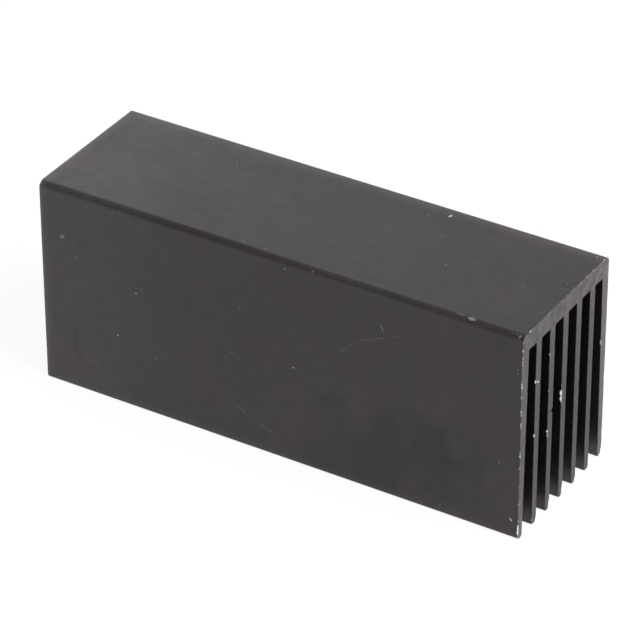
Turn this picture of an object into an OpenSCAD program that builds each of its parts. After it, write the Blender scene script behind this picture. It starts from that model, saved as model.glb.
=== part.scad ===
// Extruded aluminium heat sink: a flat base that carries a row of thin, tapered fins, sawn to length.
// It stands on its fin tips. X runs along the extrusion, Y across the fins and Z up to the base's face.
// The origin is in the plane of the fin tips, at the middle of the length and of the width.

/* [Body] */
// Length of the piece, along the extrusion
length = 100; // [20:0.5:300]
// Width over the two outer fins
width = 31; // [24:0.1:60]
// Height from the fin tips to the face of the base
height = 42.3; // [15:0.1:90]
// Thickness of the base, over the slots
base_t = 3.65; // [2:0.05:8]
// Radius along the two long edges of the base's face
edge_r = 1.15; // [0.2:0.05:1.9]

/* [Fins] */
// Number of fins, with the two outer ones
fin_count = 7; // [3:1:9]
// Thickness of an inner fin at the base
fin_root_t = 1.84; // [1.54:0.02:2.6]
// Thickness of an inner fin at its tip
fin_tip_t = 1.52; // [1.3:0.02:1.82]
// Thickness of an outer fin at the base
outer_root_t = 2.14; // [1.5:0.02:3]
// Thickness of an outer fin at its tip
outer_tip_t = 1.4; // [1.3:0.02:2.1]
// Radius on the two corners of each fin's tip
tip_r = 0.5; // [0.1:0.05:0.6]
// Radius in the two corners at the root of each slot
root_r = 0.25; // [0.1:0.05:0.6]

/* [Hidden] */
$fn = 48;

fin_h = height - base_t;
// Fins are drawn on into the base, up to where its sides start to curve.
fin_top = height - edge_r;
// At half their depth the slots are equally wide, so the fins between them stand at one pitch.
fin_mid_t = (fin_root_t + fin_tip_t) / 2;
outer_mid_t = (outer_root_t + outer_tip_t) / 2;
fin_pitch = (width - 2 * outer_mid_t + fin_mid_t) / (fin_count - 1);
inner_fin_y = [for (i = [1:fin_count - 2]) (i - (fin_count - 1) / 2) * fin_pitch];

// One face of a fin, with the metal behind it. The face starts from the tip's corner, at the origin,
// and leans out by `lean` on its way to the base. The metal goes back by `depth` from that corner.
// An arc rounds the corner at the tip, and another fills the corner between the face and the base.
module fin_face(lean, depth) {
    draft = atan(lean / fin_h);
    reach = (1 - sin(draft)) / cos(draft);
    tip_y = -tip_r * reach;
    root_y = lean + root_r * reach;
    difference() {
        polygon([
            [-depth, fin_top],
            [-depth, 0],
            [tip_y, 0],
            [tip_y, tip_r],
            [tip_y + tip_r * cos(draft), tip_r * (1 - sin(draft))],
            [root_y - root_r * cos(draft), fin_h - root_r * (1 - sin(draft))],
            [root_y, fin_h - root_r],
            [root_y, fin_top]
        ]);
        translate([root_y, fin_h - root_r]) circle(r = root_r);
    }
    translate([tip_y, tip_r]) circle(r = tip_r);
}

// A fin between two slots leans out on both sides.
module inner_fin() {
    for (side = [0, 1]) {
        mirror([side, 0])
            translate([fin_tip_t / 2, 0])
                fin_face((fin_root_t - fin_tip_t) / 2, fin_tip_t / 2);
    }
}

// The fin at the lower end of the width: its outer face is upright, and its inner face leans out.
module outer_fin() {
    translate([-width / 2 + outer_tip_t, 0])
        fin_face(outer_root_t - outer_tip_t, outer_tip_t - tip_r);
    translate([-width / 2, tip_r]) square([tip_r, fin_top - tip_r]);
    translate([-width / 2 + tip_r, tip_r]) circle(r = tip_r);
}

module base() {
    translate([-width / 2, fin_h]) square([width, base_t - edge_r]);
    translate([-width / 2 + edge_r, fin_h]) square([width - 2 * edge_r, base_t]);
    for (side = [-1, 1])
        translate([side * (width / 2 - edge_r), height - edge_r]) circle(r = edge_r);
}

module profile() {
    base();
    for (y = inner_fin_y)
        translate([y, 0]) inner_fin();
    for (side = [0, 1])
        mirror([side, 0]) outer_fin();
}

module heatsink_extrusion() {
    color([0.36, 0.36, 0.37])
        rotate([90, 0, 90])
            translate([0, 0, -length / 2])
                linear_extrude(length) profile();
}

heatsink_extrusion();
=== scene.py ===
import math
import random
from collections import namedtuple

import bpy
from mathutils import Matrix, Vector, noise
from mathutils.geometry import delaunay_2d_cdt


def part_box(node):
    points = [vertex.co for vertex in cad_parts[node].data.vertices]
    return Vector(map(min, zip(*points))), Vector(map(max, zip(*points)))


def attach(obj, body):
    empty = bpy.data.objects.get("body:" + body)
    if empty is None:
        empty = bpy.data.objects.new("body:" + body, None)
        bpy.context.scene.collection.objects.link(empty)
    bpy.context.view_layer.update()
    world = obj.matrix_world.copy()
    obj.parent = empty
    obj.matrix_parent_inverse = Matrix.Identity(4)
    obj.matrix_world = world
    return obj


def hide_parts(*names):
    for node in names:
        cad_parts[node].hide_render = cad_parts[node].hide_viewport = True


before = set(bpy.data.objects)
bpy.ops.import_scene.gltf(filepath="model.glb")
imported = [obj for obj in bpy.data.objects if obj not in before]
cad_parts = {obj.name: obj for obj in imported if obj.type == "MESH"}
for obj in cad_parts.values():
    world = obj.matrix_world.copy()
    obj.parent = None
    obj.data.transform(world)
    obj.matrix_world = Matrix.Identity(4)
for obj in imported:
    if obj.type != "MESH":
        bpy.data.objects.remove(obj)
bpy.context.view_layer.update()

# Lengths are in millimetres until a mesh is made, and angles in degrees.
MM = 0.001
NODE = "heatsink_extrusion"


def new_object(name, data):
    """A new object in the scene."""
    made = bpy.data.objects.new(name, data)
    bpy.context.scene.collection.objects.link(made)
    return made


# -------- sizes of the section, as in the CAD

LOW, HIGH = (Vector(corner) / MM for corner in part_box(NODE))
LENGTH = HIGH.x - LOW.x
WIDTH = HIGH.y - LOW.y
HEIGHT = HIGH.z - LOW.z
BASE_T = 3.65
EDGE_R = 1.15
FIN_COUNT = 7
FIN_ROOT_T = 1.84
FIN_TIP_T = 1.52
OUTER_ROOT_T = 2.14
OUTER_TIP_T = 1.4
TIP_R = 0.5
ROOT_R = 0.25

FIN_H = HEIGHT - BASE_T
FRONT_Y = -WIDTH / 2
BACK_Y = WIDTH / 2
# The slots are equally wide at half their depth.
FIN_PITCH = (WIDTH - OUTER_ROOT_T - OUTER_TIP_T + (FIN_ROOT_T + FIN_TIP_T) / 2) / (FIN_COUNT - 1)

# -------- how finely the metal is drawn

EDGE_SEGMENTS = 12
TIP_SEGMENTS = 7
ROOT_SEGMENTS = 4
# Steps along a flat of the outline.
EDGE_STEP = 0.16
# Steps along the metal on the arcs, and the finer ones on a dent. No step is shorter than STATION_GAP, and
# none on a dent comes closer than STATION_MARGIN to the undisturbed ring.
STATION_STEP = 7.0
DENT_STEP = 0.12
STATION_GAP = 0.02
STATION_MARGIN = 0.05
# Rings of vertices near each sawn end, by their distance from it. The last one is not disturbed by wear.
BAND = (0.0, 0.2, 0.6)
# What delaunay_2d_cdt is asked for: triangles inside the loop, with points closer than this taken as one.
INSIDE_LOOP = 1
SAME_POINT = 1e-7


# -------- the section's outline

# One stretch of the section's outline: a flat, or an arc that bulges out or fills a corner.
Run = namedtuple("Run", "name points normals flat")


def flat(name, start, end):
    """A straight run, cut into short steps. The metal is on its left as it goes from start to end."""
    length = math.dist(start, end)
    along = ((end[0] - start[0]) / length, (end[1] - start[1]) / length)
    steps = max(1, round(length / EDGE_STEP))
    points = [tuple(a + (b - a) * i / steps for a, b in zip(start, end)) for i in range(steps + 1)]
    return Run(name, points, [(along[1], -along[0])] * (steps + 1), True)


def arc(centre, radius, start, end, segments, bulge=1):
    """A run along a circle, from one angle to another. With bulge -1 the metal is outside the circle."""
    angles = [math.radians(start + (end - start) * i / segments) for i in range(segments + 1)]
    unit = [(math.cos(a), math.sin(a)) for a in angles]
    points = [(centre[0] + radius * c, centre[1] + radius * s) for c, s in unit]
    return Run("arc", points, [(bulge * c, bulge * s) for c, s in unit], False)


def fin_faces():
    """For each fin, its two faces as (side, y at the base, y at the tip)."""
    faces = []
    for i in range(FIN_COUNT):
        y = (i - (FIN_COUNT - 1) / 2) * FIN_PITCH
        faces.append([(side, y + side * FIN_ROOT_T / 2, y + side * FIN_TIP_T / 2) for side in (-1, 1)])
    faces[0] = [(-1, FRONT_Y, FRONT_Y), (1, FRONT_Y + OUTER_ROOT_T, FRONT_Y + OUTER_TIP_T)]
    faces[-1] = [(-1, BACK_Y - OUTER_ROOT_T, BACK_Y - OUTER_TIP_T), (1, BACK_Y, BACK_Y)]
    return faces


def face_arcs(face):
    """The draft of a fin's face, and the centres of the arcs at its tip and at its root."""
    side, root_y, tip_y = face
    draft = math.atan(side * (root_y - tip_y) / FIN_H)
    reach = (1 - math.sin(draft)) / math.cos(draft)
    tip = (tip_y - side * TIP_R * reach, TIP_R)
    root = (root_y + side * ROOT_R * reach, FIN_H - ROOT_R)
    return math.degrees(draft), tip, root


def outline():
    """The section's outline as runs, anticlockwise as seen from +X with +Y to the right."""
    # Every arc, with the name of the flat that comes after it.
    arcs = []
    for i, (left, right) in enumerate(fin_faces()):
        draft, tip, root = face_arcs(left)
        if i > 0:
            arcs.append((arc(root, ROOT_R, 90, draft, ROOT_SEGMENTS, -1), "fin"))
        arcs.append((arc(tip, TIP_R, 180 + draft, 270, TIP_SEGMENTS), "tip"))
        draft, tip, root = face_arcs(right)
        last = i == FIN_COUNT - 1
        arcs.append((arc(tip, TIP_R, 270, 360 - draft, TIP_SEGMENTS), "back" if last else "fin"))
        if not last:
            arcs.append((arc(root, ROOT_R, 180 - draft, 90, ROOT_SEGMENTS, -1), "slot"))
    corner_y, corner_z = WIDTH / 2 - EDGE_R, HEIGHT - EDGE_R
    arcs.append((arc((corner_y, corner_z), EDGE_R, 0, 90, EDGE_SEGMENTS), "top"))
    arcs.append((arc((-corner_y, corner_z), EDGE_R, 90, 180, EDGE_SEGMENTS), "front"))
    runs = []
    for (this, name), (after, _) in zip(arcs, arcs[1:] + arcs[:1]):
        runs += [this, flat(name, this.points[-1], after.points[0])]
    return runs


# -------- wear

# A dot's depth as a share of its size.
DOT_DEPTH = 0.25


class Nick(namedtuple("Nick", "y z half cut inset bare lip tall ragged", defaults=(0.0, 1.0, 1.0))):
    """Damage where a sawn end meets the outline, centred at (y, z) on the end's edge. half is half its size.

    cut is how far it goes along the metal, inset how far into the end face, and lip how far the metal
    is pushed out of the side. bare is how much bright metal it shows. tall stretches it along z, and
    ragged is how far its edge is broken up.
    """

    def weight(self, y, z, broken):
        """How strongly the nick shows at a point of the edge, from 1 at its centre to 0 outside it."""
        across = (y - self.y) / self.half
        up = (z - self.z) / (self.half * self.tall)
        return max(0.0, 1 - across * across - up * up) * (1 - self.ragged * broken)


# A scratch, a dot or a stain on a flat face: a narrow pit along a line of points, in the face's (u, v).
# bare is 1 for bright metal and less for a fainter mark. Below 0 it is a dark stain instead.
Mark = namedtuple("Mark", "points width depth bare", defaults=(0.03, 1.0))


def dot(u, v, size, bare=1.0, turn=0.0):
    """A short dent, a little longer than it is wide."""
    turn = math.radians(turn)
    half = Vector((math.cos(turn), math.sin(turn))) * size * 0.5
    centre = Vector((u, v))
    return Mark([centre - half, centre, centre + half], size, size * DOT_DEPTH, bare)


def scattered(rng, count, *ranges):
    """Dots at random places on a face, with a range for everything that a dot takes."""
    return [dot(*(rng.uniform(*ends) for ends in ranges)) for _ in range(count)]


# Chips and bare specks down the front face's sawn edge: (z, half, cut, inset, bare, ragged).
FRONT_CHIPS = [
    (41.2, 0.22, 0.12, 0.1, 0.35, 1), (39.5, 0.25, 0.14, 0.1, 0.75, 1), (38.1, 0.24, 0.14, 0.1, 0.5, 0.5),
    (37.3, 0.22, 0.12, 0.08, 0.35, 0.5), (36.7, 0.22, 0.12, 0.08, 0.4, 0.5), (35.2, 0.3, 0.2, 0.1, 0.5, 1),
    (33.3, 0.2, 0.1, 0.08, 0.35, 1), (32.6, 0.24, 0.14, 0.1, 0.7, 0.5), (32.0, 0.26, 0.14, 0.1, 0.7, 0.5),
    (31.2, 0.22, 0.12, 0.1, 0.25, 1), (30.0, 0.22, 0.12, 0.08, 0.4, 0.5), (27.8, 0.22, 0.1, 0.08, 0.25, 1),
    (27.0, 0.24, 0.14, 0.1, 0.7, 0.5), (26.4, 0.22, 0.12, 0.1, 0.35, 1), (24.5, 0.28, 0.14, 0.12, 0.6, 1),
    (23.9, 0.24, 0.12, 0.1, 0.55, 0.5), (21.3, 0.2, 0.1, 0.08, 0.2, 1), (18.4, 0.22, 0.12, 0.1, 0.3, 1),
    (17.7, 0.28, 0.14, 0.12, 0.75, 1), (15.2, 0.2, 0.1, 0.08, 0.4, 1), (11.4, 0.2, 0.1, 0.08, 0.3, 1),
    (8.5, 0.2, 0.1, 0.08, 0.35, 1), (7.6, 0.22, 0.12, 0.1, 0.45, 1), (3.9, 0.22, 0.12, 0.1, 0.35, 1),
    (3.1, 0.22, 0.12, 0.1, 0.5, 1),
]
# Nicks along the sawn edge of the base's face: (y, half, cut, inset, bare, ragged).
BASE_NICKS = [
    (-13.1, 0.33, 0.16, 0.14, 0.6, 1), (-12.4, 0.2, 0.06, 0.06, 0.12, 1), (-9.9, 0.2, 0.06, 0.06, 0.15, 1),
    (-6.2, 0.2, 0.06, 0.06, 0.12, 1), (-3.1, 0.2, 0.08, 0.06, 0.15, 1), (0.2, 0.2, 0.08, 0.06, 0.12, 1),
    (1.7, 0.2, 0.08, 0.06, 0.15, 1), (2.8, 0.3, 0.12, 0.14, 0.0, 1), (6.4, 0.2, 0.06, 0.06, 0.1, 1),
    (7.4, 0.28, 0.12, 0.1, 0.3, 1), (9.7, 0.33, 0.13, 0.1, 0.35, 0.4), (13.2, 0.25, 0.1, 0.08, 0.25, 1),
    (13.8, 0.25, 0.14, 0.08, 0.5, 1),
]
# All nicks on the sawn end at +X. Where two overlap they add up, in this order.
NEAR_NICKS = [
    *(Nick(-15.5, *row, ragged=ragged) for *row, ragged in FRONT_CHIPS),
    Nick(-15.5, 32.0, 0.4, 0.12, 0.1, 0.16, tall=26),
    Nick(-15.5, 12.0, 0.4, 0.06, 0.06, 0.08, tall=32),
    Nick(-15.4, 1.9, 0.3, 0.16, 0.08, 1.0, tall=4.2, ragged=0.5),
    Nick(-15.4, 1.4, 0.3, 0.12, 0.1, 1.0, ragged=0.5),
    Nick(-15.3, 0.5, 0.3, 0.1, 0.1, 0.4),
    *(Nick(y, 42.3, *row, ragged=ragged) for y, *row, ragged in BASE_NICKS),
    # The whole edge of the base's face.
    Nick(0.0, 42.3, 17.0, 0.08, 0.1, 0.06, tall=0.05),
    # The edge of the back face.
    Nick(14.6, 42.0, 0.3, 0.15, 0.12, 0.3), Nick(15.5, 16.5, 1.2, 0.1, 0.12, 0.15),
    Nick(15.5, 5.0, 0.3, 0.1, 0.1, 0.15),
    # The burr on the middle fin, and the dark bite in the fin beside it.
    Nick(-0.85, 21.9, 0.4, 0.04, 0.06, 0.95, lip=0.14, tall=4.0, ragged=0.5),
    Nick(-0.85, 22.7, 0.3, 0.08, 0.06, 0.85, lip=0.26, tall=1.8, ragged=0.7),
    Nick(-0.85, 21.5, 0.28, 0.1, 0.02, 0.95, lip=0.28, tall=1.8, ragged=0.4),
    Nick(-0.85, 24.15, 0.25, 0.04, 0.05, 0.3, lip=0.05, tall=1.3, ragged=0.3),
    Nick(0.85, 22.1, 0.25, 0.1, 0.1, 0.2), Nick(0.8, 19.3, 0.25, 0.1, 0.1, 0.2),
    Nick(-3.9, 20.9, 0.5, 0.5, 0.45, 0.0),
    # Small burrs and nicks on the other fins.
    Nick(-10.55, 30.5, 0.34, 0.08, 0.14, 1.0, lip=0.12, ragged=0.1),
    Nick(-10.5, 19.2, 0.25, 0.05, 0.16, 0.8, lip=0.08, tall=1.8),
    Nick(-5.75, 17.3, 0.28, 0.1, 0.2, 0.9, lip=0.1),
    Nick(-5.7, 16.6, 0.25, 0.08, 0.1, 0.55, tall=2.5, ragged=0.6),
    Nick(-5.75, 33.4, 0.3, 0.1, 0.16, 0.6, ragged=0.5), Nick(-5.75, 25.9, 0.2, 0.1, 0.1, 0.3),
    Nick(-8.8, 29.7, 0.2, 0.06, 0.1, 0.15), Nick(-13.5, 30.4, 0.25, 0.1, 0.12, 0.5, ragged=0.4),
    Nick(13.75, 25.1, 0.3, 0.05, 0.16, 0.5, lip=0.1, tall=2.4, ragged=0.4),
    Nick(-12.7, 38.5, 0.45, 0.2, 0.18, 0.25), Nick(-10.4, 1.1, 0.3, 0.15, 0.12, 0.45),
    Nick(3.2, 38.65, 0.25, 0.1, 0.1, 0.2),
    # The fins' worn tips.
    Nick(-5.4, 0.3, 0.3, 0.1, 0.1, 0.25), Nick(-4.1, 0.1, 0.5, 0.42, 0.32, 0.1, tall=3.4, ragged=0.2),
    Nick(0.76, 0.0, 0.5, 0.42, 0.34, 0.1, tall=5.0, ragged=0.2),
    Nick(-8.95, 0.0, 0.45, 0.36, 0.3, 0.1, tall=2.6, ragged=0.2),
    Nick(-9.8, 0.0, 0.7, 0.25, 0.15, 0.15, ragged=0.3), Nick(4.6, 0.2, 0.25, 0.1, 0.1, 0.2),
    Nick(5.6, 0.0, 0.45, 0.36, 0.3, 0.1, tall=2.2, ragged=0.2), Nick(10.2, 0.3, 0.25, 0.1, 0.1, 0.25),
    Nick(13.9, 1.2, 0.25, 0.1, 0.1, 0.15), Nick(15.4, 0.0, 1.1, 0.45, 0.38, 0.1, tall=1.4, ragged=0.1),
]

# Marks on the front face, in (x, z).
FRONT_MARKS = [
    Mark([(-45.7, 32.7), (-45.2, 32.2), (-44.8, 31.7)], 0.17, 0.02, 0.6),
    Mark([(-46.1, 31.8), (-45.7, 31.9), (-45.3, 31.9)], 0.17, 0.02, 0.5),
    dot(-42.5, 28.8, 0.2, 0.75), dot(-43.1, 28.4, 0.15, 0.3), dot(-29.5, 25.1, 0.34, 0.85),
    dot(-33.8, 14.6, 0.3, turn=70), dot(-28.5, 38.8, 0.2, 0.55), dot(-23.6, 8.0, 0.2, 0.6),
    dot(-49.15, 10.7, 0.2, 0.5), dot(-43.2, 7.6, 0.2, 0.35), dot(2.2, 40.6, 0.26, 0.9),
    dot(27.1, 15.6, 0.2, 0.4), dot(41.4, 23.1, 0.18, 0.5, turn=110), dot(-9.5, 14.4, 0.16, 0.45),
    dot(-8.7, 13.4, 0.14, 0.35), dot(-10.5, 11.6, 0.14, 0.25), dot(15.7, 32.4, 0.15, 0.3),
    Mark([(3.6, 20.2), (3.9, 20.5), (4.2, 20.4)], 0.2, 0.02, 0.6),
    Mark([(45.9, 14.9), (46.0, 15.3)], 0.2, 0.02, 0.5),
    Mark([(21.6, 35.6), (22.1, 34.9), (22.5, 33.8)], 0.15, 0.02, 0.35),
    # A long hairline scratch, in five pieces.
    Mark([(13.2, 26.6), (14.0, 27.5), (14.8, 28.5)], 0.15, 0.01, 0.13),
    Mark([(14.7, 28.2), (16.0, 29.6), (17.4, 30.6)], 0.12, 0.01, 0.11),
    Mark([(17.2, 30.6), (18.8, 31.4), (20.2, 31.9)], 0.13, 0.01, 0.13),
    Mark([(19.7, 31.8), (21.4, 32.5), (23.0, 33.1)], 0.13, 0.01, 0.13),
    Mark([(22.8, 33.2), (24.4, 33.8), (26.0, 34.4)], 0.13, 0.01, 0.1),
    # Faint scratches.
    Mark([(-7.4, 28.9), (-7.3, 29.5), (-7.0, 30.3)], 0.13, 0.01, 0.15),
    Mark([(-9.9, 19.1), (-9.1, 19.3), (-8.5, 19.0)], 0.14, 0.01, 0.2),
    Mark([(-26.0, 12.6), (-25.3, 12.2)], 0.16, 0.01, 0.22),
    Mark([(-9.0, 8.3), (-7.4, 7.9), (-5.9, 7.1)], 0.14, 0.01, 0.16),
    Mark([(-8.6, 7.7), (-7.2, 7.3), (-5.6, 6.6)], 0.12, 0.01, 0.12),
    Mark([(-4.2, 6.4), (-2.8, 5.6), (-1.4, 5.1)], 0.14, 0.01, 0.14),
    Mark([(-1.9, 4.8), (-0.9, 5.0), (-0.2, 5.5)], 0.12, 0.01, 0.12),
    Mark([(14.6, 16.1), (15.4, 16.9), (16.4, 17.6)], 0.12, 0.01, 0.07),
    Mark([(34.2, 0.8), (34.2, 1.6), (34.8, 2.6)], 0.12, 0.01, 0.2),
    # The bright scratch at the foot, and dots, all beside the sawn end.
    Mark([(48.1, 4.2), (48.5, 3.8), (48.8, 3.4)], 0.24, 0.02, 0.8),
    Mark([(48.9, 3.2), (49.3, 2.8)], 0.12, 0.01, 0.3),
    dot(49.1, 35.4, 0.24, 0.6), dot(49.0, 34.7, 0.2, 0.5), dot(49.1, 31.6, 0.18, 0.2),
    dot(48.9, 28.6, 0.14, 0.2), dot(49.2, 24.2, 0.16, 0.15),
    # Thin dark stains.
    Mark([(-43.1, 14.2), (-43.3, 12.4), (-43.4, 10.2), (-43.2, 8.2), (-42.4, 7.2), (-41.2, 6.2)],
         0.4, 0, -0.65),
    Mark([(-41.0, 6.0), (-39.9, 5.4), (-39.1, 5.9)], 0.55, 0, -0.8),
    Mark([(-37.5, 9.0), (-37.4, 7.6), (-37.1, 6.4)], 0.35, 0, -0.6),
    Mark([(-36.9, 6.4), (-35.9, 6.7)], 0.45, 0, -0.6),
    # A band beside the longest stain where the dye is rubbed thin.
    Mark([(-44.1, 16.0), (-44.2, 13.4), (-44.1, 10.6)], 0.3, 0, 0.02),
]

# Marks on the face of the base, in (x, y). The first is the bright chip.
TOP_MARKS = [
    Mark([(19.4, 12.0), (19.6, 12.7), (19.5, 13.2)], 0.6, 0.06),
    Mark([(15.8, 11.2), (16.3, 10.6)], 0.18, 0.01, 0.16), dot(21.7, 6.0, 0.3, 0.26),
    dot(27.0, -2.0, 0.24, 0.42), Mark([(-23.3, 9.1), (-22.8, 8.4), (-22.4, 7.9)], 0.16, 0.01, 0.16),
    dot(-27.8, 5.8, 0.2, 0.2), Mark([(41.8, -0.8), (42.2, -1.8)], 0.12, 0.01, 0.16),
    dot(42.6, -2.3, 0.14, 0.2), Mark([(48.7, 13.9), (48.2, 14.0)], 0.24, 0.02, 0.5),
    dot(-18.3, 6.4, 0.2, 0.15), Mark([(-17.4, 5.4), (-16.8, 4.7)], 0.2, 0.01, 0.06),
    Mark([(-7.8, -13.5), (-7.0, -14.0)], 0.28, 0.01, 0.12),
    Mark([(-3.1, -14.0), (-2.3, -13.6)], 0.2, 0.01, 0.18), dot(3.0, -2.2, 0.2, 0.25),
    dot(5.0, -6.2, 0.2, 0.2), dot(-5.2, -5.6, 0.2, 0.15), dot(25.2, 6.4, 0.16, 0.2),
    Mark([(47.8, 3.8), (48.3, 3.4)], 0.14, 0.01, 0.22), dot(48.6, -7.2, 0.16, 0.15),
    dot(48.9, -6.4, 0.2, 0.25), dot(49.1, -5.5, 0.16, 0.2), dot(48.8, -9.6, 0.16, 0.15),
    dot(48.9, 12.9, 0.2, 0.3), dot(48.2, 12.2, 0.16, 0.15), dot(49.15, 13.9, 0.22, 0.3),
]

# Marks on the sawn end at +X, in (y, z).
END_MARKS = [
    Mark([(-10.2, 30.35), (-9.8, 30.1), (-9.25, 29.7)], 0.32, 0.02, 0.9),
    Mark([(-14.5, 31.3), (-14.1, 30.5), (-13.9, 29.8)], 0.16, 0.02, 0.25),
    # Darker scores where the saw rubbed.
    Mark([(9.4, 39.2), (9.6, 39.8), (10.0, 40.3), (10.5, 40.9), (10.9, 41.4), (11.5, 41.9)],
         0.34, 0, -0.85),
    Mark([(14.3, 39.4), (14.1, 38.8), (14.0, 38.1)], 0.3, 0, -0.4),
    Mark([(4.4, 38.9), (4.6, 39.4), (4.8, 39.9)], 0.3, 0, -0.4),
    Mark([(7.4, 39.7), (7.6, 40.3), (7.8, 40.8)], 0.25, 0, -0.25),
    Mark([(-8.9, 39.6), (-8.6, 40.2), (-8.4, 40.9)], 0.2, 0, -0.25),
    Mark([(0.1, 40.3), (0.6, 41.1), (1.0, 41.9)], 0.2, 0, -0.3),
    Mark([(-4.9, 39.6), (-4.4, 40.6), (-4.1, 41.4)], 0.2, 0, -0.25),
    Mark([(5.7, 34.1), (5.3, 32.8), (5.0, 31.6)], 0.35, 0, -0.3),
    # A dark spot at the corner.
    Mark([(13.75, 41.98), (14.15, 41.92), (14.6, 41.7)], 0.28, 0, -0.85),
]

# Dents in the rounded edge between the base's face and the front face:
# (x, angle, half length, half width, depth, bareness).
EDGE_DENTS = [
    (39.5, 108, 0.75, 0.33, 0.2, 0.31), (37.1, 98, 1.2, 0.1, 0.05, 0.1), (47.6, 122, 0.14, 0.1, 0.06, 0.1),
    (48.5, 114, 0.16, 0.1, 0.08, 0.25), (49.1, 128, 0.16, 0.12, 0.1, 0.45), (49.0, 146, 0.1, 0.1, 0.06, 0.35),
    (7.9, 146, 0.16, 0.12, 0.06, 0.45), (-32.5, 168, 0.16, 0.12, 0.06, 0.25),
]

# The faintest dots are scattered at random: how many, then their u, v, size, bareness and turn.
DOTS_SEED = 4
FRONT_DOTS = (40, (-48, -18), (4, 40), (0.15, 0.3), (-0.6, 0.08), (0, 180))
TOP_DOTS = (30, (34, 49), (-6, 13), (0.15, 0.3), (-0.6, 0.12), (0, 180))

# The far end has a chip at its front upper corner, and small nicks at random: how many, their half sizes,
# their depth as a share of that, and their bareness.
FAR_CHIP = Nick(-15.0, 42.0, 0.7, 0.12, 0.1, 0.5)
FAR_SEED = 11
FAR_COUNT = 40
FAR_HALVES = (0.18, 0.3)
FAR_DEPTH = 0.4
FAR_BARE = (0.1, 0.45)

# A sawn edge away from any nick: how far it is rounded along the metal and into the end face, and how bare
# it is, with the ripple on each. The base's edge is cleaner than the fins'.
EDGE_CUT = 0.03
CUT_RIPPLE = 0.02
EDGE_INSET = 0.02
BASE_RIPPLE = 0.02
FIN_RIPPLE = 0.035
EDGE_BARE = 0.01
BARE_RIPPLE = 0.08
# The ripples along the edge, as (seed, length).
CUT_WAVES = ((0, 0.9), (5, 0.4))
INSET_WAVES = ((9, 0.9), (11, 0.4))
BARE_WAVES = ((13, 0.6), (17, 5.0))
# What breaks up the edges of ragged nicks.
BREAK_LEVEL = 0.4
BREAK_RIPPLE = 1.3
BREAK_WAVES = ((21, 0.35),)
SEED_SPACING = 7.3
# How quickly a nick's bareness grows inwards from its edge.
BARE_RISE = 2.5
# The side is shaded flat where the lip is higher than the first, and is bare too above the second.
LIP_FLAT = 0.02
LIP_BARE = 0.05
# A dent is bare out to where its weight falls to this.
DENT_RIM = 0.05
# How unevenly wide a mark is, and how quickly that changes along it.
MARK_WOBBLE = 0.25
MARK_WOBBLES = 3

# -------- the metal

ANODISED, SAWN = 0, 1
PIECE = "anodised_extrusion"

EdgeState = namedtuple("EdgeState", "cut inset lip bare")


class Shell:
    """Collects vertices, and faces with a normal for every corner, a material and a bareness."""

    def __init__(self):
        self.verts, self.faces, self.normals, self.slots, self.bare = [], [], [], [], []

    def vert(self, point):
        self.verts.append(Vector(point))
        return len(self.verts) - 1

    def face(self, corners, normals=None, slot=ANODISED, bare=0.0):
        """Adds a face. Without normals it is shaded flat."""
        if normals is None:
            a, b, c, *d = (self.verts[corner] for corner in corners)
            plane = (c - a).cross(d[0] - b) if d else (b - a).cross(c - a)
            normals = [plane.normalized()] * len(corners)
        self.faces.append(corners)
        self.normals.append(normals)
        self.slots.append(slot)
        self.bare.append(bare)

    def mesh(self, name, materials):
        mesh = bpy.data.meshes.new(name)
        mesh.from_pydata([v * MM for v in self.verts], [], self.faces)
        for material in materials:
            mesh.materials.append(material)
        mesh.polygons.foreach_set("material_index", self.slots)
        mesh.polygons.foreach_set("use_smooth", [True] * len(self.faces))
        mesh.attributes.new("bare", "FLOAT", "FACE").data.foreach_set("value", self.bare)
        mesh.normals_split_custom_set([n for corners in self.normals for n in corners])
        mesh.update()
        return mesh


class Ring:
    """The outline's points in order, with what the saw and wear did to them at each end."""

    def __init__(self, runs):
        self.points = []
        self.starts = []
        for run in runs:
            self.starts.append(len(self.points))
            self.points += [(*p, *n) for p, n in zip(run.points[:-1], run.normals[:-1])]
        self.along = [0.0]
        for a, b in zip(self.points, self.points[1:]):
            self.along.append(self.along[-1] + math.dist(a[:2], b[:2]))

    def __len__(self):
        return len(self.points)

    def rippled(self, j, end, level, size, waves, lowest=-math.inf):
        """A level with smooth random ripples along the edge, one for each wave."""
        for seed, length in waves:
            ripple = noise.noise(Vector((self.along[j] / length, (end + seed) * SEED_SPACING, 0.5)))
            level += size * max(lowest, ripple)
        return level

    def sawn_edge(self, j, end):
        """The edge at one point as the saw left it, and how far a ragged nick is broken up there."""
        cut = self.rippled(j, end, EDGE_CUT, CUT_RIPPLE, CUT_WAVES)
        rough = BASE_RIPPLE if self.points[j][1] > HEIGHT - BASE_T else FIN_RIPPLE
        inset = EDGE_INSET + rough * self.rippled(j, end, 1, 1, INSET_WAVES)
        bare = self.rippled(j, end, EDGE_BARE, BARE_RIPPLE, BARE_WAVES, lowest=0.0)
        broken = self.rippled(j, end, BREAK_LEVEL, -BREAK_RIPPLE, BREAK_WAVES)
        return EdgeState(cut, inset, 0.0, bare), min(1.0, max(0.0, broken))

    def state(self, j, end, nicks):
        """The edge at one point, with its nicks."""
        y, z = self.points[j][:2]
        (cut, inset, lip, bare), broken = self.sawn_edge(j, end)
        for nick in nicks:
            w = nick.weight(y, z, broken)
            if w > 0:
                cut += nick.cut * math.sqrt(w)
                inset += nick.inset * math.sqrt(w)
                lip += nick.lip * w
                bare += max(0.0, nick.bare - bare) * min(1.0, BARE_RISE * w)
        return EdgeState(cut, inset, lip, bare)


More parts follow.
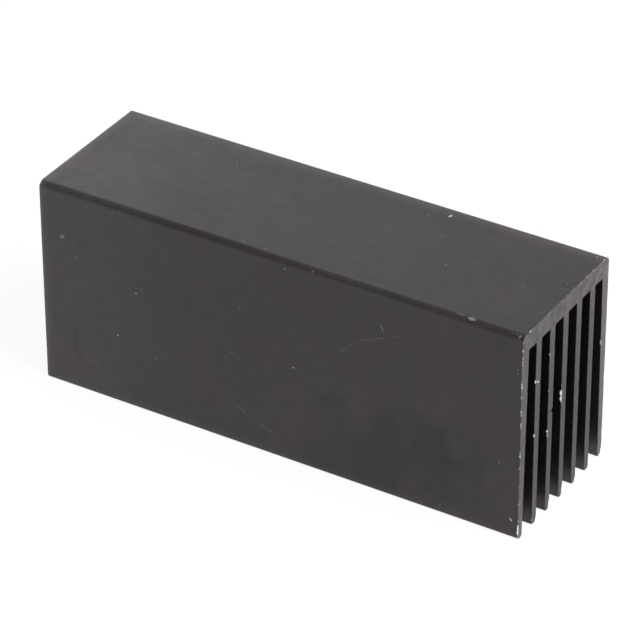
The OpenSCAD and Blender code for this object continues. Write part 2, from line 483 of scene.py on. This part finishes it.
def band_rings(shell, ring, end, states):
    """The rings of vertices at one end, from the undisturbed one outwards, and the end face's rim."""
    tip = end * LENGTH / 2
    rings = []
    for depth in reversed(BAND):
        weight = 1 - depth / BAND[-1]
        verts = []
        for (y, z, ny, nz), state in zip(ring.points, states):
            x = tip - end * (depth + state.cut * weight)
            push = state.lip * weight
            verts.append(shell.vert((x, y + ny * push, z + nz * push)))
        rings.append(verts)
    rim = [shell.vert((tip, y - ny * state.inset, z - nz * state.inset))
           for (y, z, ny, nz), state in zip(ring.points, states)]
    return rings, rim


def band_faces(shell, ring, rings, rim, states, end):
    """The narrow band of faces between the undisturbed ring and the end face's rim."""
    count = len(ring)
    for j in range(count):
        k = (j + 1) % count
        lip = max(states[j].lip, states[k].lip)
        bare = (states[j].bare + states[k].bare) / 2
        normals = [Vector((0, *ring.points[i][2:])) for i in (j, k)]
        shading = None if lip > LIP_FLAT else [normals[0], normals[1], normals[1], normals[0]]
        edge = rings[-1]
        for a, b in zip(rings, rings[1:]):
            worn = b is edge and lip > LIP_BARE
            add_turned(shell, (a[j], a[k], b[k], b[j]), shading, end, ANODISED, bare if worn else 0.0)
        add_turned(shell, (edge[j], edge[k], rim[k], rim[j]), None, end, SAWN, bare)


def add_turned(shell, corners, normals, end, slot, bare):
    """Adds a face whose corners run anticlockwise at the +X end and clockwise at the other."""
    if end < 0:
        corners = corners[::-1]
        normals = normals and normals[::-1]
    shell.face(corners, normals, slot, bare)


def edge_angle(i):
    """The angle round the rounded front edge after i of its segments: 90 is its top, and 180 its front."""
    return 90 + 90 * i / EDGE_SEGMENTS


def dented(x, angle):
    """How deep the rounded front edge is dented at a place, with how bare it is there."""
    depth = bare = 0.0
    for dent_x, dent_angle, half_x, half_arc, dent_depth, dent_bare in EDGE_DENTS:
        across = math.radians(angle - dent_angle) * EDGE_R / half_arc
        w = max(0.0, 1 - ((x - dent_x) / half_x) ** 2 - across ** 2)
        depth += dent_depth * math.sqrt(w)
        bare = max(bare, dent_bare if w > DENT_RIM else 0.0)
    return depth, bare


def stations(dents):
    """Places along the length where the arcs have vertices, between the undisturbed rings."""
    inner = LENGTH / 2 - BAND[-1]
    count = round(2 * inner / STATION_STEP)
    places = {round(-inner + 2 * inner * i / count, 4) for i in range(1, count)}
    for x, _, half, *_ in dents:
        steps = max(4, round(2 * half / DENT_STEP))
        for i in range(-1, steps + 2):
            place = x - half + 2 * half * i / steps
            if abs(place) < inner - STATION_MARGIN:
                places.add(round(place, 4))
    places = sorted(places)
    return [x for x, after in zip(places, places[1:] + [inner]) if after - x > STATION_GAP]


def is_front_edge(runs, index):
    """Whether a run is the rounded front edge. Only the front face comes after it."""
    return index == len(runs) - 2


def arc_columns(shell, ring, runs, ends):
    """Vertices along the metal for every outline point on an arc, its two ends included."""
    columns = {}
    for index, run in enumerate(runs):
        if run.flat:
            continue
        front_edge = is_front_edge(runs, index)
        places = stations(EDGE_DENTS if front_edge else [])
        first = ring.starts[index]
        for i, (point, normal) in enumerate(zip(run.points, run.normals)):
            j = (first + i) % len(ring)
            column = [ends[-1][j]]
            inside = 0 < i < len(run.points) - 1
            for x in places:
                depth = dented(x, edge_angle(i))[0] if front_edge and inside else 0.0
                column.append(shell.vert((x, point[0] - normal[0] * depth, point[1] - normal[1] * depth)))
            column.append(ends[1][j])
            columns[j] = column
    return columns


def arc_faces(shell, ring, runs, columns):
    """The faces of every arc, between the columns of its points."""
    for index, run in enumerate(runs):
        if run.flat:
            continue
        first = ring.starts[index]
        for i in range(len(run.points) - 1):
            a = columns[(first + i) % len(ring)]
            b = columns[(first + i + 1) % len(ring)]
            n, m = (Vector((0, *run.normals[i + step])) for step in (0, 1))
            for k in range(len(a) - 1):
                bare = 0.0
                if is_front_edge(runs, index):
                    x = (shell.verts[a[k]].x + shell.verts[a[k + 1]].x) / 2
                    bare = dented(x, edge_angle(i + 0.5))[1]
                normals = None if bare else [n, m, m, n]
                shell.face((a[k], b[k], b[k + 1], a[k + 1]), normals, ANODISED, bare)


def mark_outline(mark):
    """A closed loop round a mark, tapering to its ends, and the points along its middle."""
    points = [Vector(p) for p in mark.points]
    loop_left, loop_right = [], []
    middle = points[1:-1] or [(points[0] + points[-1]) / 2]
    for i, point in enumerate(middle):
        before, *_, after = points[i:i + 3]
        along = (after - before).normalized()
        across = Vector((-along.y, along.x))
        place = Vector((point.x * MARK_WOBBLES, point.y * MARK_WOBBLES, i))
        wobble = 1 + MARK_WOBBLE * noise.noise(place)
        loop_left.append(point + across * mark.width / 2 * wobble)
        loop_right.append(point - across * mark.width / 2 * (2 - wobble))
    return [points[0], *loop_right, points[-1], *reversed(loop_left)], middle


def fill(shell, loop, place, normal, marks, slot=ANODISED):
    """Fills a flat loop of vertices with triangles, and works the marks into it.

    loop is a list of (vertex, u, v), place turns (u, v) into a point, and normal is the face's own.
    """
    flat_points = [Vector((u, v)) for _, u, v in loop]
    known = [vertex for vertex, _, _ in loop]
    count = len(loop)
    edges = [(i, (i + 1) % count) for i in range(count)]
    inner_faces = []
    for mark in marks:
        outer, middle = mark_outline(mark)
        first = len(flat_points)
        flat_points += outer
        known += [shell.vert(place(*p)) for p in outer]
        inner_faces.append(list(range(first, first + len(outer))))
        first = len(flat_points)
        flat_points += middle
        known += [shell.vert(place(*p) - normal * mark.depth) for p in middle]
        edges += [(first + i, first + i + 1) for i in range(len(middle) - 1)]
    made = delaunay_2d_cdt(flat_points, edges, inner_faces, INSIDE_LOOP, SAME_POINT)
    points, _, faces, origins, _, face_origins = made
    lookup = [known[origin[0]] if origin else shell.vert(place(*point))
              for point, origin in zip(points, origins)]
    for face, inside in zip(faces, face_origins):
        corners = [lookup[i] for i in face]
        a, b, c = (shell.verts[i] for i in corners)
        if (b - a).cross(c - a).dot(normal) < 0:
            corners.reverse()
        bare = marks[inside[0]].bare if inside else 0.0
        pitted = inside and marks[inside[0]].depth > 0
        shell.face(tuple(corners), None if pitted else [normal] * 3, slot, bare)


def along_run(run, mark):
    """A mark with its points measured along a run, instead of by their y on the base's face or their z."""
    axis = 0 if run.name == "top" else 1
    start, end = run.points[0][axis], run.points[-1][axis]
    way = 1 if end > start else -1
    return mark._replace(points=[(u, (v - start) * way) for u, v in map(Vector, mark.points)])


def flat_faces(shell, ring, runs, columns, ends, marks):
    """Fills every flat of the outline, between the columns of its neighbouring arcs."""
    for index, run in enumerate(runs):
        if not run.flat:
            continue
        first = ring.starts[index]
        last = first + len(run.points) - 1
        start = Vector((0, *run.points[0]))
        along = (Vector((0, *run.points[-1])) - start).normalized()

        def entry(vertex):
            point = shell.verts[vertex]
            return vertex, point.x, (Vector((0, point.y, point.z)) - start).dot(along)

        def place(u, v):
            return start + along * v + Vector((u, 0, 0))

        lower = columns[first % len(ring)]
        upper = columns[last % len(ring)]
        near, far = ([ends[end][j % len(ring)] for j in range(first + 1, last)] for end in (1, -1))
        loop = [entry(v) for v in [*lower, *near, *reversed(upper), *reversed(far)]]
        own = [along_run(run, mark) for mark in marks.get(run.name, [])]
        fill(shell, loop, place, Vector((0, *run.normals[0])), own)


def end_face(shell, rim, end, marks):
    """Fills a sawn end inside its rim."""
    loop = [(v, shell.verts[v].y, shell.verts[v].z) for v in rim]
    tip = end * LENGTH / 2
    fill(shell, loop, lambda u, v: Vector((tip, u, v)), Vector((end, 0, 0)), marks, SAWN)


def far_nicks(ring):
    """The chip and the random small nicks round the far end."""
    rng = random.Random(FAR_SEED)
    nicks = [FAR_CHIP]
    for _ in range(FAR_COUNT):
        y, z = ring.points[rng.randrange(len(ring))][:2]
        half = rng.uniform(*FAR_HALVES)
        nicks.append(Nick(y, z, half, half * FAR_DEPTH, half * FAR_DEPTH, rng.uniform(*FAR_BARE)))
    return nicks


def make_metal(materials):
    """The whole extrusion as one closed mesh."""
    shell = Shell()
    runs = outline()
    ring = Ring(runs)
    rng = random.Random(DOTS_SEED)
    marks = {
        "front": FRONT_MARKS + scattered(rng, *FRONT_DOTS),
        "top": TOP_MARKS + scattered(rng, *TOP_DOTS),
    }
    end_rings = {}
    for end, nicks, end_marks in ((1, NEAR_NICKS, END_MARKS), (-1, far_nicks(ring), [])):
        states = [ring.state(j, end, nicks) for j in range(len(ring))]
        rings, rim = band_rings(shell, ring, end, states)
        band_faces(shell, ring, rings, rim, states, end)
        end_face(shell, rim, end, end_marks)
        end_rings[end] = rings[0]
    columns = arc_columns(shell, ring, runs, end_rings)
    arc_faces(shell, ring, runs, columns)
    flat_faces(shell, ring, runs, columns, end_rings, marks)
    return new_object(PIECE, shell.mesh(PIECE, materials))


# -------- materials

class Nodes:
    """A short way to write a node tree."""

    def __init__(self, tree):
        self.tree = tree
        tree.nodes.clear()

    def add(self, kind, inputs=None, **settings):
        node = self.tree.nodes.new(kind)
        for key, value in settings.items():
            setattr(node, key, value)
        for key, value in (inputs or {}).items():
            if isinstance(value, bpy.types.NodeSocket):
                self.tree.links.new(value, node.inputs[key])
            else:
                node.inputs[key].default_value = value
        return node

    def math(self, operation, a, b=0.0, clamp=False):
        node = self.add("ShaderNodeMath", {0: a, 1: b}, operation=operation, use_clamp=clamp)
        return node.outputs[0]

    def plus(self, a, b):
        return self.math("ADD", a, b)

    def minus(self, a, b):
        return self.math("SUBTRACT", a, b)

    def times(self, first, *others):
        for other in others:
            first = self.math("MULTIPLY", first, other)
        return first

    def length(self, a, b):
        return self.math("SQRT", self.plus(self.math("POWER", a, 2.0), self.math("POWER", b, 2.0)))

    def ramp(self, value, low, high, to_low=0.0, to_high=1.0, kind="SMOOTHSTEP"):
        """Goes softly from to_low to to_high as value goes from low to high, and no further."""
        inputs = {"Value": value, "From Min": low, "From Max": high, "To Min": to_low, "To Max": to_high}
        return self.add("ShaderNodeMapRange", inputs, interpolation_type=kind).outputs["Result"]

    def line(self, value, low, high, to_low, to_high):
        """As ramp, but straight."""
        return self.ramp(value, low, high, to_low, to_high, "LINEAR")

    def mix(self, factor, a, b):
        return self.add("ShaderNodeMix", {0: factor, 6: a, 7: b}, data_type="RGBA").outputs[2]

    def mix_value(self, factor, a, b):
        return self.add("ShaderNodeMix", {0: factor, 2: a, 3: b}, data_type="FLOAT").outputs[0]

    def scaled(self, colour, level):
        inputs = {0: colour, "Scale": level}
        return self.add("ShaderNodeVectorMath", inputs, operation="SCALE").outputs[0]

    def noise(self, vector, scale, detail=2.0, rough=0.5):
        inputs = {"Vector": vector, "Scale": scale, "Detail": detail, "Roughness": rough}
        return self.add("ShaderNodeTexNoise", inputs).outputs["Fac"]

    def stretched(self, vector, scale):
        return self.add("ShaderNodeMapping", {"Vector": vector, "Scale": scale}).outputs["Vector"]

    def split(self, vector):
        return self.add("ShaderNodeSeparateXYZ", {0: vector}).outputs

    def object_mm(self):
        """The surface's own coordinates in millimetres."""
        own = self.add("ShaderNodeTexCoord").outputs["Object"]
        return self.stretched(own, (1 / MM, 1 / MM, 1 / MM))


def new_material(name):
    material = bpy.data.materials.new(name)
    material.use_nodes = True
    return material, Nodes(material.node_tree)


def grey(level, tint=(1.0, 1.0, 1.0)):
    return (*(level * part for part in tint), 1.0)


WHITE = grey(1.0)

# Below, a noise is (scale per mm, detail, roughness), and a fade is where something goes from 0 to 1, or
# between the two levels after that. x, y and z are the object's, in mm.

# What both finishes share. The dyed oxide's two tints mix in clouds.
DYE_MAUVE = grey(1.0, (1.17, 0.93, 0.98))
DYE_GREY = grey(1.0, (1.07, 0.99, 0.96))
STAIN = grey(0.004)
BARE_METAL = grey(0.80, (1.0, 0.995, 0.98))
BARE_ROUGH = 0.42
GLOSS_IOR = 1.45
GLOSS_TINT = grey(1.0, (1.0, 0.935, 0.965))
# How much of the surface's relief is its lines, and how much its grain.
LINES_RELIEF = 0.6
GRAIN_RELIEF = 0.4

# How much the dye reflects, before all that varies it.
DYE_LEVEL = 0.0345
DYE_MOTTLE = (0.45, 5.0, 0.6)
DYE_MOTTLE_FADE = (0.25, 0.75, 0.82, 1.18)
DYE_CLOUD = (0.05, 3.0, 0.55)
DYE_CLOUD_FADE = (0.3, 0.7, 0.9, 1.1)
# Painted light: the dye is paler towards -X, as if lit from that side, and painted shade makes it a little
# darker towards +X.
LIGHT_PAINTED_LEFT_X = (-50.0, -10.0, 1.62, 1.0)
SHADE_PAINTED_RIGHT_X = (0.0, 50.0, 1.0, 0.95)
# The front face is what lies within this of the front plane.
FRONT_FADE = (0.1, 1.0)
# A soft uneven smudge low on the front face: its middle in (x, z), its lean as a cosine and a sine, half its
# length and width, its edge, what makes that uneven, and how much of the level is left inside.
SMUDGE_CENTRE = (24.0, 8.0)
SMUDGE_LEAN = (0.94, 0.34)
SMUDGE_HALVES = (26.0, 13.0)
SMUDGE_FADE = (0.2, 1.1, 1.0, 0.0)
SMUDGE_PATCH = (0.1, 4.0, 0.55)
SMUDGE_WANDER = (0.2, 0.8, -0.5, 0.5)
SMUDGE_LEFT = 0.25
# Where handling has thinned the dye, and how much paler it is there. The rim is the very end at -X, and
# shows most on the front face.
RUBBED_LEVEL = 0.027
RUBBED_BACK_Y = (12.0, 14.5)
RUBBED_END_X = (-47.5, -49.8)
RUBBED_FOOT_Z = (2.0, 0.5)
RUBBED_RIM_X = (-49.3, -49.7)
RIM_ALL = 0.4
RIM_FRONT = 1.3
# Painted shade on the rounded front edge: where it is darkened, and how much, from -X on.
EDGE_SHADE_PAINTED_Y = (-14.0, -14.5)
EDGE_SHADE_PAINTED_Z = (40.9, 41.5)
EDGE_SHADE_PAINTED_X = (-20.0, 5.0, 0.24, 0.0)
# Painted shade in the slots' insides, by |y| and z, and how much of the level is left there.
SLOT_SHADE_PAINTED_Y = (14.6, 14.1)
SLOT_SHADE_PAINTED_FOOT_Z = (0.5, 9.0)
SLOT_SHADE_PAINTED_ROOT_Z = (41.0, 39.5)
SLOT_SHADE_PAINTED_LEFT = 0.35


def finish_material(nodes, colour, roughness, height, height_mm):
    """Puts the bare metal and the stains over a finish, and ends the tree."""
    bare = nodes.add("ShaderNodeAttribute", attribute_name="bare").outputs["Fac"]
    shown = nodes.math("MAXIMUM", bare, 0.0)
    stain = nodes.math("MAXIMUM", nodes.times(bare, -1.0), 0.0)
    colour = nodes.mix(stain, colour, STAIN)
    colour = nodes.mix(shown, colour, BARE_METAL)
    bump = nodes.add("ShaderNodeBump", {"Height": height, "Distance": height_mm * MM, "Strength": 1.0})
    shader = nodes.add("ShaderNodeBsdfPrincipled", {
        "Base Color": colour,
        "Metallic": shown,
        "Roughness": nodes.mix_value(shown, roughness, BARE_ROUGH),
        "IOR": GLOSS_IOR,
        "Specular Tint": GLOSS_TINT,
        "Normal": bump.outputs["Normal"],
    })
    nodes.add("ShaderNodeOutputMaterial", {"Surface": shader.outputs["BSDF"]})


def relief(nodes, lines, grain):
    """The height of a surface's fine lines and of its grain together, from 0 to 1."""
    return nodes.plus(nodes.times(lines, LINES_RELIEF), nodes.times(grain, GRAIN_RELIEF))


def smudge(nodes, at, x, z):
    """1 inside the smudge on the front face and 0 outside it."""
    cosine, sine = SMUDGE_LEAN
    across = nodes.minus(x, SMUDGE_CENTRE[0])
    up = nodes.minus(z, SMUDGE_CENTRE[1])
    lean_x = nodes.plus(nodes.times(across, cosine), nodes.times(up, sine))
    lean_z = nodes.minus(nodes.times(up, cosine), nodes.times(across, sine))
    lean_x = nodes.math("DIVIDE", lean_x, SMUDGE_HALVES[0])
    lean_z = nodes.math("DIVIDE", lean_z, SMUDGE_HALVES[1])
    wander = nodes.ramp(nodes.noise(at, *SMUDGE_PATCH), *SMUDGE_WANDER)
    return nodes.ramp(nodes.plus(nodes.length(lean_x, lean_z), wander), *SMUDGE_FADE)


def rubbed(nodes, x, y, z, front):
    """Where handling has thinned the dye: by the back edge, the -X end and its rim, and the front's foot."""
    edges = nodes.math("MAXIMUM", nodes.ramp(y, *RUBBED_BACK_Y), nodes.ramp(x, *RUBBED_END_X))
    foot = nodes.times(front, nodes.ramp(z, *RUBBED_FOOT_Z))
    rim = nodes.plus(nodes.times(front, RIM_FRONT), RIM_ALL)
    rim = nodes.times(rim, nodes.ramp(x, *RUBBED_RIM_X))
    return nodes.plus(nodes.math("MAXIMUM", edges, foot), rim)


def dye_and_painted_light_level(nodes, at, x, y, z):
    """How much the dyed surface reflects.

    It is paler where it is rubbed, and darker in the smudge. Painted light makes it paler towards -X and a
    little darker towards +X, and painted shade darkens it in the slots and along half of the rounded front
    edge.
    """
    mottle = nodes.line(nodes.noise(at, *DYE_MOTTLE), *DYE_MOTTLE_FADE)
    cloud = nodes.ramp(nodes.noise(at, *DYE_CLOUD), *DYE_CLOUD_FADE)
    # Painted light and shade: paler towards -X, a little darker towards +X.
    level = nodes.times(mottle, DYE_LEVEL, cloud, nodes.ramp(x, *LIGHT_PAINTED_LEFT_X), nodes.ramp(x, *SHADE_PAINTED_RIGHT_X))
    front = nodes.ramp(y, FRONT_FADE[0] - WIDTH / 2, FRONT_FADE[1] - WIDTH / 2, 1.0, 0.0)
    dirty = nodes.times(front, smudge(nodes, at, x, z))
    level = nodes.times(level, nodes.line(dirty, 0.0, 1.0, 1.0, SMUDGE_LEFT))
    level = nodes.plus(level, nodes.times(rubbed(nodes, x, y, z, front), RUBBED_LEVEL))
    # Painted shade along the rounded front edge, strongest from -X up to about x -20.
    edge_shade_painted = nodes.times(nodes.ramp(y, *EDGE_SHADE_PAINTED_Y), nodes.ramp(z, *EDGE_SHADE_PAINTED_Z), nodes.ramp(x, *EDGE_SHADE_PAINTED_X))
    level = nodes.times(level, nodes.minus(1.0, edge_shade_painted))
    # Painted shade inside the slots, between the fins.
    slots = nodes.ramp(nodes.math("ABSOLUTE", y), *SLOT_SHADE_PAINTED_Y)
    slots = nodes.times(slots, nodes.ramp(z, *SLOT_SHADE_PAINTED_FOOT_Z), nodes.ramp(z, *SLOT_SHADE_PAINTED_ROOT_Z))
    return nodes.times(level, nodes.line(slots, 0.0, 1.0, 1.0, SLOT_SHADE_PAINTED_LEFT))


# Fine lines along the extrusion: how the coordinates are stretched for them, their noise, and their relief.
DIE_STRETCH = (0.012, 2.2, 2.2)
DIE_LINES = (1.0, 3.0)
DIE_GRAIN = (5.0, 2.0)
DIE_RELIEF = 0.004
# The clouds of mauve, which lie a little more towards +X.
MAUVE_CLOUD = (0.09, 4.0, 0.6)
MAUVE_FADE = (0.4, 0.6)
MAUVE_X = (-50.0, 45.0, -0.08, 0.09)
# The gloss varies in patches and from line to line.
SATIN_PATCH = (0.3, 4.0, 0.6)
SATIN_ROUGH = (0.3, 0.7, 0.29, 0.37)
SATIN_LINES = (0.3, 0.7, -0.02, 0.03)


def anodised():
    """The dyed oxide on the extruded faces: satin, with fine lines along the extrusion."""
    material, nodes = new_material("dark_anodised")
    at = nodes.object_mm()
    x, y, z = nodes.split(at)
    lines = nodes.noise(nodes.stretched(at, DIE_STRETCH), *DIE_LINES)
    grain = nodes.noise(at, *DIE_GRAIN)
    tone = nodes.plus(nodes.noise(at, *MAUVE_CLOUD), nodes.ramp(x, *MAUVE_X))
    colour = nodes.mix(nodes.ramp(tone, *MAUVE_FADE), DYE_GREY, DYE_MAUVE)
    colour = nodes.scaled(colour, dye_and_painted_light_level(nodes, at, x, y, z))
    rough = nodes.line(nodes.noise(at, *SATIN_PATCH), *SATIN_ROUGH)
    rough = nodes.plus(rough, nodes.line(lines, *SATIN_LINES))
    finish_material(nodes, colour, rough, relief(nodes, lines, grain), DIE_RELIEF)
    return material


# The middle of the saw blade that cut the ends, in (y, z).
SAW_CENTRE = (96.0, -52.0)
# Turns an angle round it into a length along the saw's lines, and stretches the lines.
SAW_RADIUS = 125.0
SAW_STRETCH = 0.22
SAW_LINES = (1.3, 4.0, 0.65)
SAW_LINES_FADE = (0.36, 0.56, 0.55, 1.12)
SAW_GRAIN = (1.8, 5.0, 0.7)
SAW_GRAIN_FADE = (0.3, 0.7, 0.5, 1.5)
SAW_ROUGH = (0.3, 0.7, 0.38, 0.46)
SAW_RELIEF = 0.03
# Patches, plain on the base and faint on the fins.
SAW_PATCH = (0.5, 3.0, 0.55)
SAW_PATCH_FADE = (0.35, 0.65, 0.62, 1.38)
SAW_PATCH_Z = (36.0, 39.0, 0.25, 1.0)
SAW_TONE = (0.35, 3.0, 0.6)
SAW_TONE_FADE = (0.4, 0.6, 0.25, 0.7)

# How much the sawn metal reflects, before what varies it.
SAWN_LEVEL = 0.067
# The base and the last fin are paler towards +Y, in two steps.
SAWN_RIGHT_Y = ((2.0, 11.0, 0.0, 0.22), (9.0, 12.5, 0.0, 0.17))
SAWN_BASE_Z = (33.0, 39.5)
SAWN_LAST_Y = (12.5, 13.5)
# The inner fins are duller, most of all near the middle of their height.
SAWN_INNER_Y = ((-13.0, -8.5), (13.0, 9.0))
SAWN_FINS_Z = (40.5, 34.0)
SAWN_MIDDLE_Z = 17.0
SAWN_MIDDLE_FADE = (4.0, 18.0, 1.0, 0.6)
SAWN_FINS_LEFT = 0.4
# The last fin, and the first fin's foot.
SAWN_LAST_FADE = (13.0, 13.8, 1.0, 1.1)
SAWN_FIRST_Y = (-13.0, -14.0)
SAWN_FOOT_Z = (12.0, 4.0, 0.0, 0.35)


def saw_lines(nodes, y, z):
    """Uneven streaks along the arcs that the saw's teeth left."""
    across = nodes.minus(y, SAW_CENTRE[0])
    up = nodes.minus(z, SAW_CENTRE[1])
    along = nodes.times(nodes.math("ARCTAN2", up, across), SAW_RADIUS, SAW_STRETCH)
    polar = nodes.add("ShaderNodeCombineXYZ", {0: nodes.length(across, up), 1: along}).outputs[0]
    return nodes.noise(polar, *SAW_LINES)


def sawn_level(nodes, y, z):
    """How much the sawn metal reflects: the fins' ends less than the base's, and the last fin's the most."""
    right = nodes.plus(*(nodes.ramp(y, *fade) for fade in SAWN_RIGHT_Y))
    where = nodes.math("MAXIMUM", nodes.ramp(z, *SAWN_BASE_Z), nodes.ramp(y, *SAWN_LAST_Y))
    level = nodes.plus(nodes.times(right, where), 1.0)
    fins = nodes.times(*(nodes.ramp(y, *fade) for fade in SAWN_INNER_Y), nodes.ramp(z, *SAWN_FINS_Z))
    from_middle = nodes.math("ABSOLUTE", nodes.minus(z, SAWN_MIDDLE_Z))
    fins = nodes.times(fins, nodes.ramp(from_middle, *SAWN_MIDDLE_FADE))
    level = nodes.times(level, nodes.line(fins, 0.0, 1.0, 1.0, SAWN_FINS_LEFT))
    foot = nodes.times(nodes.ramp(y, *SAWN_FIRST_Y), nodes.ramp(z, *SAWN_FOOT_Z))
    return nodes.times(level, nodes.plus(nodes.ramp(y, *SAWN_LAST_FADE), foot), SAWN_LEVEL)


def sawn():
    """The sawn ends: rougher, with the saw's curved lines across them."""
    material, nodes = new_material("sawn_end")
    at = nodes.object_mm()
    _, y, z = nodes.split(at)
    lines = saw_lines(nodes, y, z)
    grain = nodes.noise(at, *SAW_GRAIN)
    patch = nodes.minus(nodes.ramp(nodes.noise(at, *SAW_PATCH), *SAW_PATCH_FADE), 1.0)
    patch = nodes.plus(nodes.times(patch, nodes.ramp(z, *SAW_PATCH_Z)), 1.0)
    level = nodes.times(sawn_level(nodes, y, z), nodes.line(lines, *SAW_LINES_FADE))
    level = nodes.times(level, nodes.line(grain, *SAW_GRAIN_FADE), patch)
    tone = nodes.ramp(nodes.noise(at, *SAW_TONE), *SAW_TONE_FADE)
    colour = nodes.scaled(nodes.mix(tone, DYE_GREY, DYE_MAUVE), level)
    finish_material(nodes, colour, nodes.line(grain, *SAW_ROUGH), relief(nodes, lines, grain), SAW_RELIEF)
    return material


# -------- stage, light and camera

# Half the floor's side, in metres.
FLOOR_HALF = 4.0
# Keeps the floor from sharing a plane with the fins' tips.
FLOOR_GAP = 0.02
# How much the floor reflects for the rays that see it, and what it adds for them near the object. Together
# they are white where no shadow falls. FLOOR_FADE is where it turns white by itself, by the distance in mm.
FLOOR_PAPER = 0.12
FLOOR_GLOW = 0.91
FLOOR_FADE = (100.0, 600.0)
# What it returns to the object's sides.
FLOOR_BOUNCE = 0.35

# The room, by the way a ray goes: its X, Y or Z, each from -1 to 1. Behind the object a white sweep goes up
# to SWEEP_TOP, and in front of it only to FRONT_TOP. Above that the room is dim, and dimmest far to the left.
BEHIND_Y = (0.0, 0.3)
SWEEP_TOP = 0.585
SWEEP_EDGE = 0.03
FRONT_TOP = (0.03, 0.15, 1.0, 0.0)
ROOM_X = (-0.48, -0.42, 0.26, 0.38)
# Higher than this it is all cooler, and brighter on the left than on the right.
SKY_Z = (0.2, 0.38)
SKY_X = (-0.6, -0.25, 1.26, 0.76)
SKY = grey(1.0, (0.95, 1.0, 1.075))

# The lamp's place, target and size, in metres, and its power in watts.
LAMP_PLACE = Vector((0.75, -0.1, 1.0))
LAMP_TARGET = Vector((0, 0, 0.02))
LAMP_SIZE = 0.6
LAMP_WATTS = 12

CAMERA_AZIMUTH = 31.44
CAMERA_ELEVATION = 32.84
CAMERA_ROLL = -0.16
# From the target, in metres.
CAMERA_DISTANCE = 0.7396
CAMERA_TARGET = Vector((-4.96, 8.08, 14.55)) * MM
CAMERA_SENSOR = 36.0
CAMERA_LENS = 226.45


def seen_ray(nodes):
    """1 for the rays that show the background: from the camera, from a gloss or through glass."""
    path = nodes.add("ShaderNodeLightPath")
    seen = nodes.plus(path.outputs["Is Camera Ray"], path.outputs["Is Glossy Ray"])
    return nodes.math("ADD", seen, path.outputs["Is Transmission Ray"], clamp=True)


def floor_material():
    """White for the rays that show the background, and plain grey paper for the rest."""
    material, nodes = new_material("floor_white")
    seen = seen_ray(nodes)
    paper = nodes.mix(seen, grey(FLOOR_BOUNCE), grey(FLOOR_PAPER))
    paper = nodes.add("ShaderNodeBsdfDiffuse", {"Color": paper})
    far = nodes.add("ShaderNodeVectorMath", {0: nodes.object_mm()}, operation="LENGTH").outputs["Value"]
    glow = nodes.times(seen, nodes.ramp(far, *FLOOR_FADE, FLOOR_GLOW, 1.0))
    glow = nodes.add("ShaderNodeEmission", {"Color": WHITE, "Strength": glow})
    both = nodes.add("ShaderNodeAddShader", {0: paper.outputs[0], 1: glow.outputs[0]})
    nodes.add("ShaderNodeOutputMaterial", {"Surface": both.outputs[0]})
    return material


def make_floor():
    mesh = bpy.data.meshes.new("floor")
    level = -FLOOR_GAP * MM
    signs = ((-1, -1), (1, -1), (1, 1), (-1, 1))
    mesh.from_pydata([(x * FLOOR_HALF, y * FLOOR_HALF, level) for x, y in signs], [], [(0, 1, 2, 3)])
    mesh.materials.append(floor_material())
    floor = new_object("floor", mesh)


def make_world():
    """A pale sweep behind and beside the object, and a darker room above and in front of it."""
    world = bpy.data.worlds.new("studio")
    bpy.context.scene.world = world
    world.use_nodes = True
    nodes = Nodes(world.node_tree)
    way_x, way_y, way_z = nodes.split(nodes.add("ShaderNodeTexCoord").outputs["Generated"])
    sweep_top = nodes.ramp(way_z, SWEEP_TOP - SWEEP_EDGE, SWEEP_TOP + SWEEP_EDGE, 1.0, 0.0)
    sweep = nodes.mix_value(nodes.ramp(way_y, *BEHIND_Y), nodes.ramp(way_z, *FRONT_TOP), sweep_top)
    level = nodes.mix_value(sweep, nodes.ramp(way_x, *ROOM_X), 1.0)
    high = nodes.ramp(way_z, *SKY_Z)
    level = nodes.times(level, nodes.mix_value(high, 1.0, nodes.ramp(way_x, *SKY_X)))
    colour = nodes.mix(high, WHITE, SKY)
    background = nodes.add("ShaderNodeBackground", {"Color": colour, "Strength": level})
    nodes.add("ShaderNodeOutputWorld", {"Surface": background.outputs[0]})


def make_lamp():
    data = bpy.data.lights.new("key", "AREA")
    data.shape = "RECTANGLE"
    data.size = data.size_y = LAMP_SIZE
    data.energy = LAMP_WATTS
    lamp = new_object("key", data)
    lamp.location = LAMP_PLACE
    lamp.rotation_euler = (LAMP_TARGET - LAMP_PLACE).to_track_quat("-Z", "Y").to_euler()


def make_camera():
    azimuth, elevation = math.radians(CAMERA_AZIMUTH), math.radians(CAMERA_ELEVATION)
    back = Vector((
        math.sin(azimuth) * math.cos(elevation),
        -math.cos(azimuth) * math.cos(elevation),
        math.sin(elevation),
    ))
    camera = new_object("camera", bpy.data.cameras.new("camera"))
    camera.data.sensor_width = CAMERA_SENSOR
    camera.data.lens = CAMERA_LENS
    look = (-back).to_track_quat("-Z", "Y").to_matrix().to_4x4()
    roll = Matrix.Rotation(math.radians(CAMERA_ROLL), 4, "Z")
    camera.matrix_world = Matrix.Translation(CAMERA_TARGET + back * CAMERA_DISTANCE) @ (look @ roll)
    bpy.context.scene.camera = camera


# -------- the scene

metal = make_metal([anodised(), sawn()])
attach(metal, "root")
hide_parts(NODE)

make_floor()
make_world()
make_lamp()
make_camera()
bpy.context.scene.view_settings.view_transform = "Standard"
